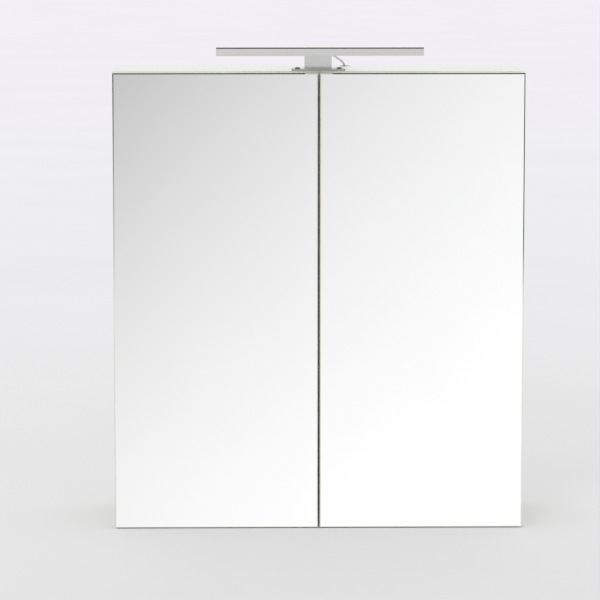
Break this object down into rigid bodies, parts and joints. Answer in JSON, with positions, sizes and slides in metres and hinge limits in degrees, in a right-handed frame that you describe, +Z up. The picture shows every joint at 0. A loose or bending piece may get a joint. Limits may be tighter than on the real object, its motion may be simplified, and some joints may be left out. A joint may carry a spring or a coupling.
{
  "type": "medicine cabinet with mirror",
  "caption": "Wall-hung medicine cabinet with hinged mirror doors that meet in the middle, glass shelves inside and a slim light bar held over the top edge.",
  "frame": {"origin": "on the wall plane, midway between the centres of the two hanging holes", "axes": "+Z up, +Y into the wall, the doors face -Y, +X to the right as seen from the front"},
  "size_m": [0.6, 0.262, 0.7085],
  "materials": {
    "white_melamine": "white melamine on chipboard, satin, faint orange peel",
    "back_board": "matt white lacquer on fibreboard",
    "shelf_glass": "clear float glass, green at the edge",
    "zinc_steel": "nickel-plated steel",
    "wood_dowel": "beech",
    "screw_steel": "zinc-plated",
    "dark_screw": "dark pan head",
    "magnet": "ferrite",
    "white_plastic": "fine moulded grain",
    "satin_nickel": "satin nickel",
    "opal_diffuser": "opal acrylic",
    "led_board": "white solder mask",
    "led_chip": "phosphor",
    "grey_cable": "grey sheath",
    "grey_rubber": "moulded",
    "contact_brass": "bare",
    "black_plastic": "potted housing",
    "mirror": "silvered float glass with polished edge",
    "foam_tape": "double-sided foam tape",
    "clear_bumper": "soft silicone"
  },
  "bodies": {
    "carcass": {"side_panel_left": "white_melamine", "side_panel_right": "white_melamine", "top_panel": "white_melamine", "bottom_panel": "white_melamine", "back_panel": "back_board", "shelf_lower": "shelf_glass", "shelf_upper": "shelf_glass", "shelf_pins": "zinc_steel", "cam_locks": "zinc_steel", "cam_bolts": "zinc_steel", "dowels": "wood_dowel", "hanging_plates": "zinc_steel", "hanging_screws": "screw_steel", "magnet_catch_housings": "white_plastic", "catch_magnets": "magnet", "catch_screws": "screw_steel", "hinge_arms": "zinc_steel", "hinge_plates": "zinc_steel", "hinge_plate_screws": "screw_steel", "hinge_fixing_screws": "screw_steel", "hinge_adjusting_screws": "screw_steel", "lamp_base": "satin_nickel", "lamp_base_screws": "dark_screw", "lamp_arm": "satin_nickel", "lamp_neck_screws": "screw_steel", "lamp_housing": "satin_nickel", "lamp_end_cap_left": "satin_nickel", "lamp_end_cap_right": "satin_nickel", "lamp_bar_screws": "screw_steel", "lamp_diffuser": "opal_diffuser", "lamp_led_board": "led_board", "lamp_leds": "led_chip", "lamp_cable": "grey_cable", "cable_grommet": "grey_rubber", "cable_clips": "white_plastic", "switch_box": "white_plastic", "switch_box_cover": "white_plastic", "cover_screws": "screw_steel", "box_screws": "screw_steel", "socket_insert": "white_plastic", "socket_contacts": "contact_brass", "led_driver": "black_plastic", "mains_grommet": "grey_rubber"},
    "left_door": {"door_left": "white_melamine", "mirror_left": "mirror", "mirror_tape_left": "foam_tape", "hinge_cups_left": "zinc_steel", "hinge_pins_left": "zinc_steel", "cup_screws_left": "screw_steel", "bumpers_left": "clear_bumper", "strike_plate_left": "zinc_steel"},
    "right_door": {"door_right": "white_melamine", "mirror_right": "mirror", "mirror_tape_right": "foam_tape", "hinge_cups_right": "zinc_steel", "hinge_pins_right": "zinc_steel", "cup_screws_right": "screw_steel", "bumpers_right": "clear_bumper", "strike_plate_right": "zinc_steel"},
    "rocker": {"rocker_switch": "white_plastic"}
  },
  "joints": [
    {"name": "left_door_hinge", "type": "hinge", "parent": "carcass", "child": "left_door", "pos_m": [-0.2917, -0.188, 0], "axis": [0, 0, -1], "range_deg": [0, 95]},
    {"name": "right_door_hinge", "type": "hinge", "parent": "carcass", "child": "right_door", "pos_m": [0.2917, -0.188, 0], "axis": [0, 0, 1], "range_deg": [0, 95]},
    {"name": "rocker_hinge", "type": "hinge", "parent": "carcass", "child": "rocker", "pos_m": [0.2, -0.0625, 0.008], "axis": [1, 0, 0], "range_deg": [0, 10]}
  ]
}
